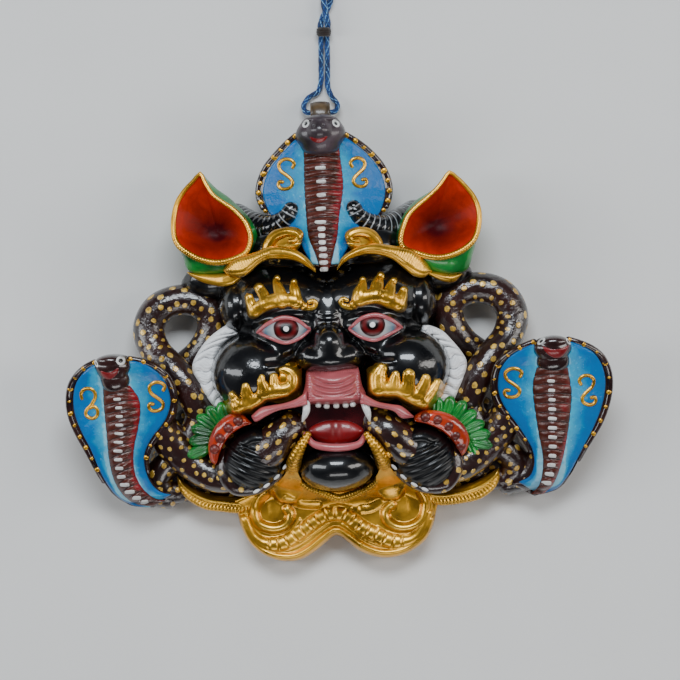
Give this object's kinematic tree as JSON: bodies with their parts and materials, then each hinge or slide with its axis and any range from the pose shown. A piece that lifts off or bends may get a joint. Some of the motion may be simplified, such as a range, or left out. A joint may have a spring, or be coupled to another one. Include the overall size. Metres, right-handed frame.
{
  "type": "wall mask",
  "caption": "Cast and painted wall mask of a horned beast, crowned and flanked by cobras, hollow behind the face, with its hanging cord.",
  "frame": {"origin": "on the floor under the middle of the mask, which lies on its back; the cord is left out of that middle", "axes": "+Z the way the face looks, +Y towards the top of the head, +X to the right of whoever looks at the face"},
  "size_m": [0.2708, 0.3014, 0.0633],
  "materials": {
    "casting": "gloss",
    "cord": "matte",
    "binding": "matte"
  },
  "bodies": {
    "root": {"mask": "casting", "cord_loop": "cord", "cord_binding": "binding", "cord_upper": "cord", "cord_knot": "cord"}
  },
  "joints": []
}
